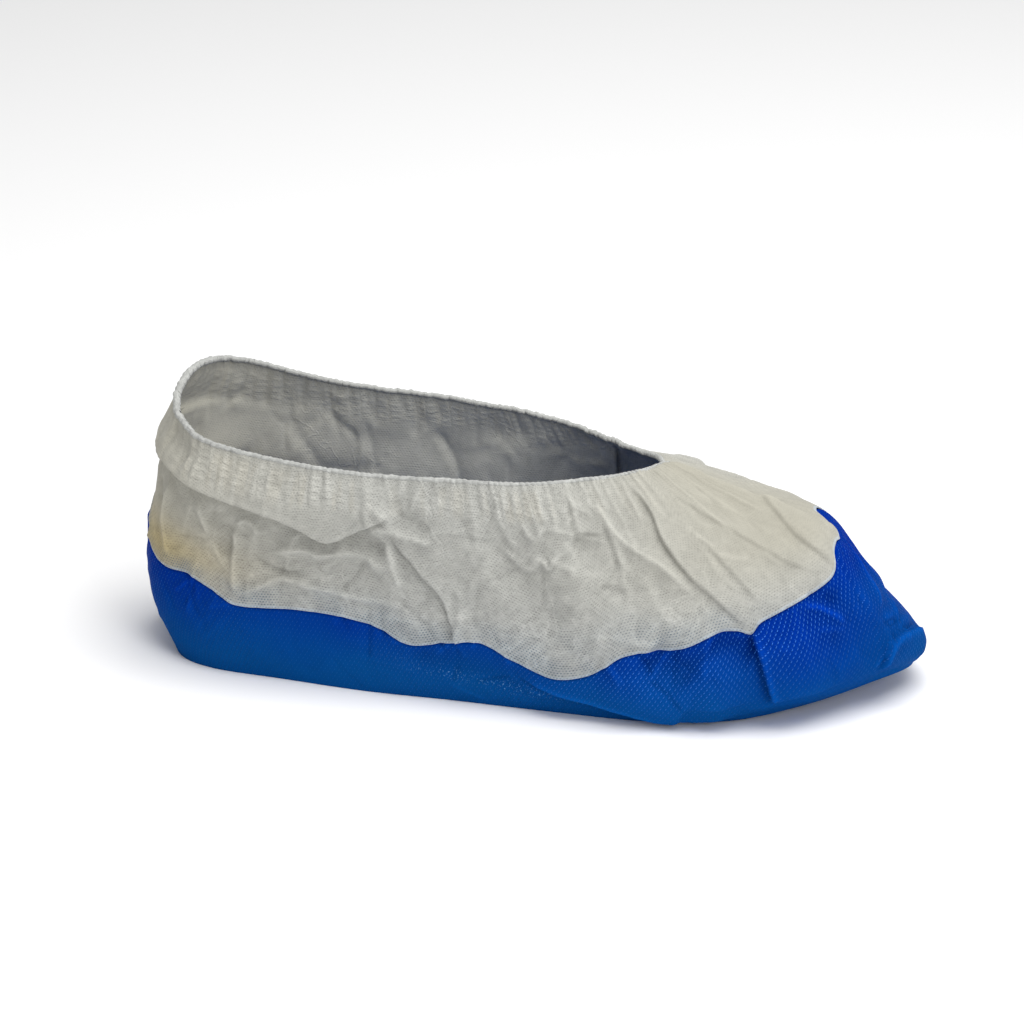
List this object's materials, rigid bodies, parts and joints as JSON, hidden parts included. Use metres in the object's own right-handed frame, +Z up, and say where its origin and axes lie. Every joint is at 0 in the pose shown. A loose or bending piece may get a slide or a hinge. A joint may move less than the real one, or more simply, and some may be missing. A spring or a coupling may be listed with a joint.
{
  "type": "disposable shoe cover",
  "caption": "Pull-on disposable overshoe in worn form: embossed film sole tray, thin nonwoven upper and a gathered elastic opening, hollow for the shoe.",
  "frame": {"origin": "centre of the footprint's bounding box, on the floor that the sole rests on", "axes": "+Z up, +X from heel to toe, +Y towards the inner side of the foot"},
  "size_m": [0.3108, 0.1104, 0.1111],
  "materials": {
    "sole_film": "satin embossed film",
    "nonwoven": "matt spunbond nonwoven",
    "elastic": "matt crimped elastic hem"
  },
  "bodies": {
    "root": {"sole_film": "sole_film", "upper": "nonwoven", "elastic_edge": "elastic"}
  },
  "joints": []
}
